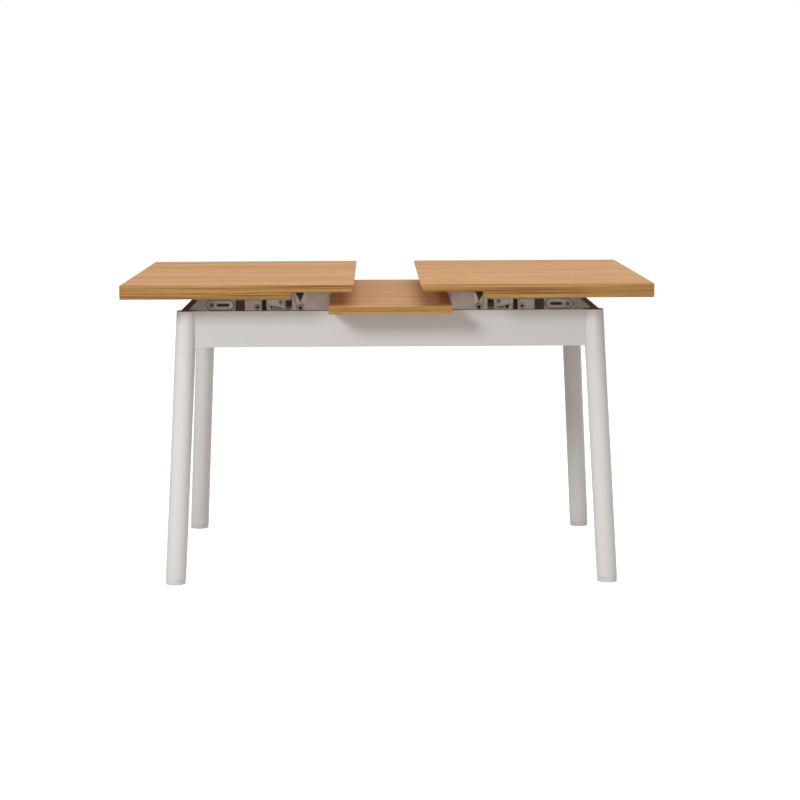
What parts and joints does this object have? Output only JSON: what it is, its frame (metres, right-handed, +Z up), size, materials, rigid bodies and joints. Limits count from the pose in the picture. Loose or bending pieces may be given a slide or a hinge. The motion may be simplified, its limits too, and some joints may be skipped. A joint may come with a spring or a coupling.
{
  "type": "extendable dining table",
  "caption": "Rectangular table with two sliding top halves, a lift-up centre leaf stored below them, slim aprons and splayed round legs.",
  "frame": {"origin": "on the floor under the centre of the four-legged frame; the halves stand open 90 mm to the left of it and 73.5 mm to the right, so the outline's centre lies 8.25 mm to the left", "axes": "+X along the table to the right, +Y to the back, +Z up"},
  "size_m": [1.3085, 0.8, 0.76],
  "materials": {
    "oak": "satin lacquered light oak veneer",
    "white_board": "matt off-white melamine board",
    "white_lacquer": "satin white lacquer on round wooden legs",
    "plain_wood": "unfinished beech",
    "galvanised": "zinc-plated pressed steel",
    "bright_steel": "ground steel rod",
    "spring_steel": "black oxidised spring wire",
    "grey_plastic": "grey moulded nylon"
  },
  "bodies": {
    "frame": {"apron_front": "white_board", "slide_beam_front": "white_board", "leaf_guide_block_front": "grey_plastic", "apron_back": "white_board", "slide_beam_back": "white_board", "leaf_guide_block_back": "grey_plastic", "apron_left": "white_board", "lift_spring_left": "spring_steel", "apron_right": "white_board", "lift_spring_right": "spring_steel", "leg_front_left": "white_lacquer", "foot_front_left": "grey_plastic", "corner_block_front_left": "plain_wood", "lift_bracket_front_left": "galvanised", "slide_support_front_left": "galvanised", "slide_channel_front_left": "galvanised", "leg_front_right": "white_lacquer", "foot_front_right": "grey_plastic", "corner_block_front_right": "plain_wood", "lift_bracket_front_right": "galvanised", "slide_support_front_right": "galvanised", "slide_channel_front_right": "galvanised", "leg_back_left": "white_lacquer", "foot_back_left": "grey_plastic", "corner_block_back_left": "plain_wood", "lift_bracket_back_left": "galvanised", "slide_support_back_left": "galvanised", "slide_channel_back_left": "galvanised", "leg_back_right": "white_lacquer", "foot_back_right": "grey_plastic", "corner_block_back_right": "plain_wood", "lift_bracket_back_right": "galvanised", "slide_support_back_right": "galvanised", "slide_channel_back_right": "galvanised"},
    "left_carriage": {"slide_runner_front_left": "galvanised", "slide_runner_back_left": "galvanised"},
    "right_carriage": {"slide_runner_front_right": "galvanised", "slide_runner_back_right": "galvanised"},
    "left_top": {"table_top_left": "oak", "edge_strip_front_left": "oak", "edge_strip_back_left": "oak", "edge_strip_end_left": "oak", "slide_bar_front_left": "galvanised", "slide_bar_back_left": "galvanised"},
    "right_top": {"table_top_right": "oak", "edge_strip_front_right": "oak", "edge_strip_back_right": "oak", "edge_strip_end_right": "oak", "slide_bar_front_right": "galvanised", "slide_bar_back_right": "galvanised"},
    "leaf": {"extension_leaf": "oak", "leaf_guide_rod_front": "bright_steel", "leaf_guide_rod_back": "bright_steel"},
    "left_lift": {"lift_shaft_left": "bright_steel", "lift_arm_front_left": "galvanised", "lift_arm_back_left": "galvanised"},
    "right_lift": {"lift_shaft_right": "bright_steel", "lift_arm_front_right": "galvanised", "lift_arm_back_right": "galvanised"}
  },
  "joints": [
    {"name": "left_carriage_slide", "type": "slide", "parent": "frame", "child": "left_carriage", "axis": [-1, 0, 0], "range_m": [-0.09, 0]},
    {"name": "right_carriage_slide", "type": "slide", "parent": "frame", "child": "right_carriage", "axis": [1, 0, 0], "range_m": [-0.0735, 0]},
    {"name": "left_top_slide", "type": "slide", "parent": "left_carriage", "child": "left_top", "axis": [-1, 0, 0], "range_m": [0, 0.153]},
    {"name": "right_top_slide", "type": "slide", "parent": "right_carriage", "child": "right_top", "axis": [1, 0, 0], "range_m": [0, 0.153]},
    {"name": "leaf_lift", "type": "slide", "parent": "frame", "child": "leaf", "axis": [0, 0, 1], "range_m": [0, 0.0542]},
    {"name": "left_lift_hinge", "type": "hinge", "parent": "frame", "child": "left_lift", "pos_m": [-0.235, 0, 0.7064], "axis": [0, -1, 0], "range_deg": [0, 27.2]},
    {"name": "right_lift_hinge", "type": "hinge", "parent": "frame", "child": "right_lift", "pos_m": [0.235, 0, 0.7064], "axis": [0, 1, 0], "range_deg": [0, 27.2]}
  ],
  "couplings": [
    {"joint": "right_top_slide", "follows": "left_top_slide", "ratio": 1},
    {"joint": "leaf_lift", "follows": "left_top_slide", "ratio": 0.35425},
    {"joint": "left_lift_hinge", "follows": "left_top_slide", "rad_per_m": 3.1033},
    {"joint": "right_lift_hinge", "follows": "left_top_slide", "rad_per_m": 3.1033}
  ]
}
